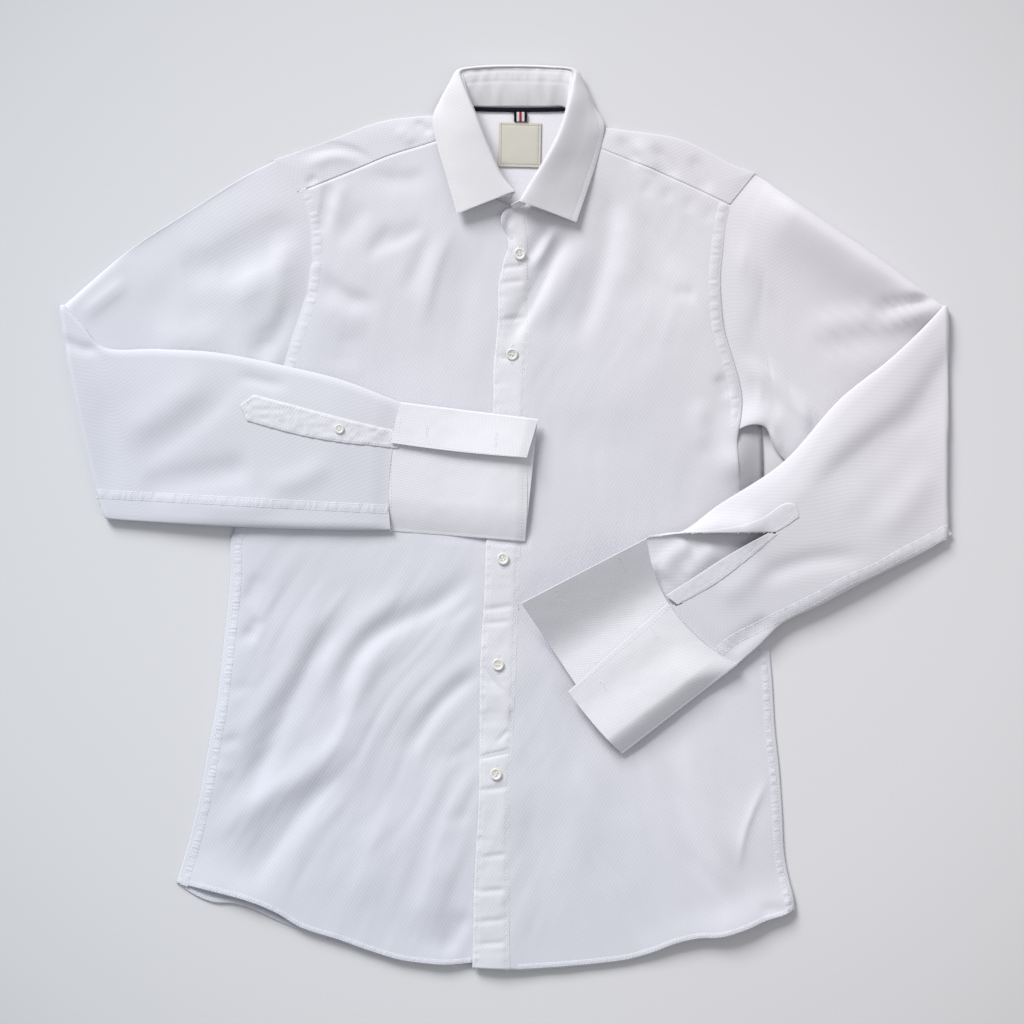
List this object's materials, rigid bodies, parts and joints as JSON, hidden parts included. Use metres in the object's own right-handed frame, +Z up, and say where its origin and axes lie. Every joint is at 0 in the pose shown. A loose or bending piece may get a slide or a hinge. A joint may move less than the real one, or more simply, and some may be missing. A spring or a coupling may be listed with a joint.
{
  "type": "dress shirt",
  "caption": "Long-sleeved dress shirt with double cuffs, laid flat and buttoned, with both forearms folded across the front.",
  "frame": {"origin": "under the middle of the shirt's outline, on the surface it lies on", "axes": "+Z up from the surface, +Y towards the collar, +X towards the wearer's left sleeve"},
  "size_m": [0.7986, 0.8122, 0.0287],
  "materials": {
    "cotton": "matt fine twill, very slightly bluish white",
    "ribbon": "ribbed navy ribbon",
    "label_cloth": "plain cream satin weave",
    "button": "glossy, pearly off-white"
  },
  "bodies": {
    "root": {"back": "cotton", "yoke": "cotton", "front_right": "cotton", "front_left": "cotton", "placket": "cotton", "sleeve_right": "cotton", "sleeve_left": "cotton", "sleeve_placket_right": "cotton", "sleeve_placket_left": "cotton", "under_placket_left": "cotton", "cuff_right": "cotton", "cuff_left": "cotton", "collar_stand": "cotton", "collar_leaf": "cotton", "neck_tape": "ribbon", "hanger_loop": "ribbon", "label": "label_cloth", "button_1": "button", "button_2": "button", "button_3": "button", "button_4": "button", "button_5": "button", "button_6": "button", "button_sleeve_right": "button"}
  },
  "joints": []
}
